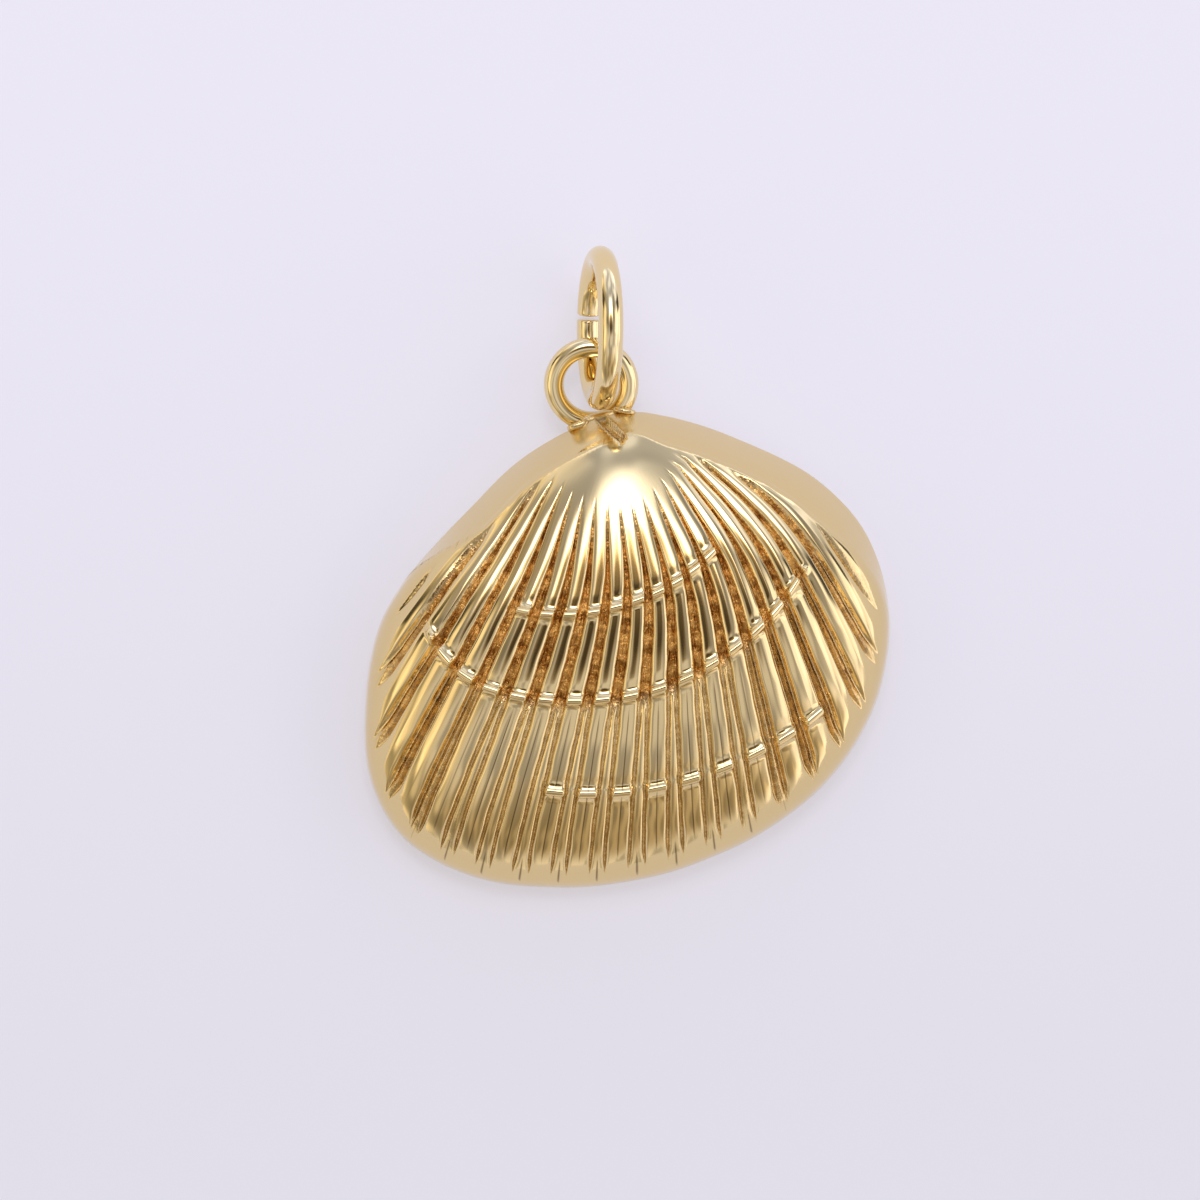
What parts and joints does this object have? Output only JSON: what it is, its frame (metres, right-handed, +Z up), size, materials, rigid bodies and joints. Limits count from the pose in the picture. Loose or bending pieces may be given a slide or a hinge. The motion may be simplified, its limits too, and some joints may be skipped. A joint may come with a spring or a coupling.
{
  "type": "cockle shell charm",
  "caption": "Domed, ribbed cockle-shell pendant charm in polished gold-plated brass, hollow at the back, with a cast loop at the beak and an open jump ring linked through it.",
  "frame": {"origin": "middle of the whole object's footprint, on the plane that the charm's flat back rim lies on", "axes": "+Z up out of the dome, +Y from the shell's far margin to its beak, loop and ring, +X to the right as seen from above with the beak at the top"},
  "size_m": [0.0192, 0.0234, 0.006],
  "materials": {
    "shell_gilt": "polished gold plate, with rough cast floors in the grooves",
    "ring_gilt": "polished gold plate"
  },
  "bodies": {
    "charm": {"shell_charm": "shell_gilt"},
    "ring": {"jump_ring": "ring_gilt"}
  },
  "joints": [
    {"name": "ring_swing", "type": "hinge", "parent": "charm", "child": "ring", "pos_m": [-0.00133, 0.00806, 0.0016], "axis": [1, 0, 0], "range_deg": [-124, 8]}
  ]
}
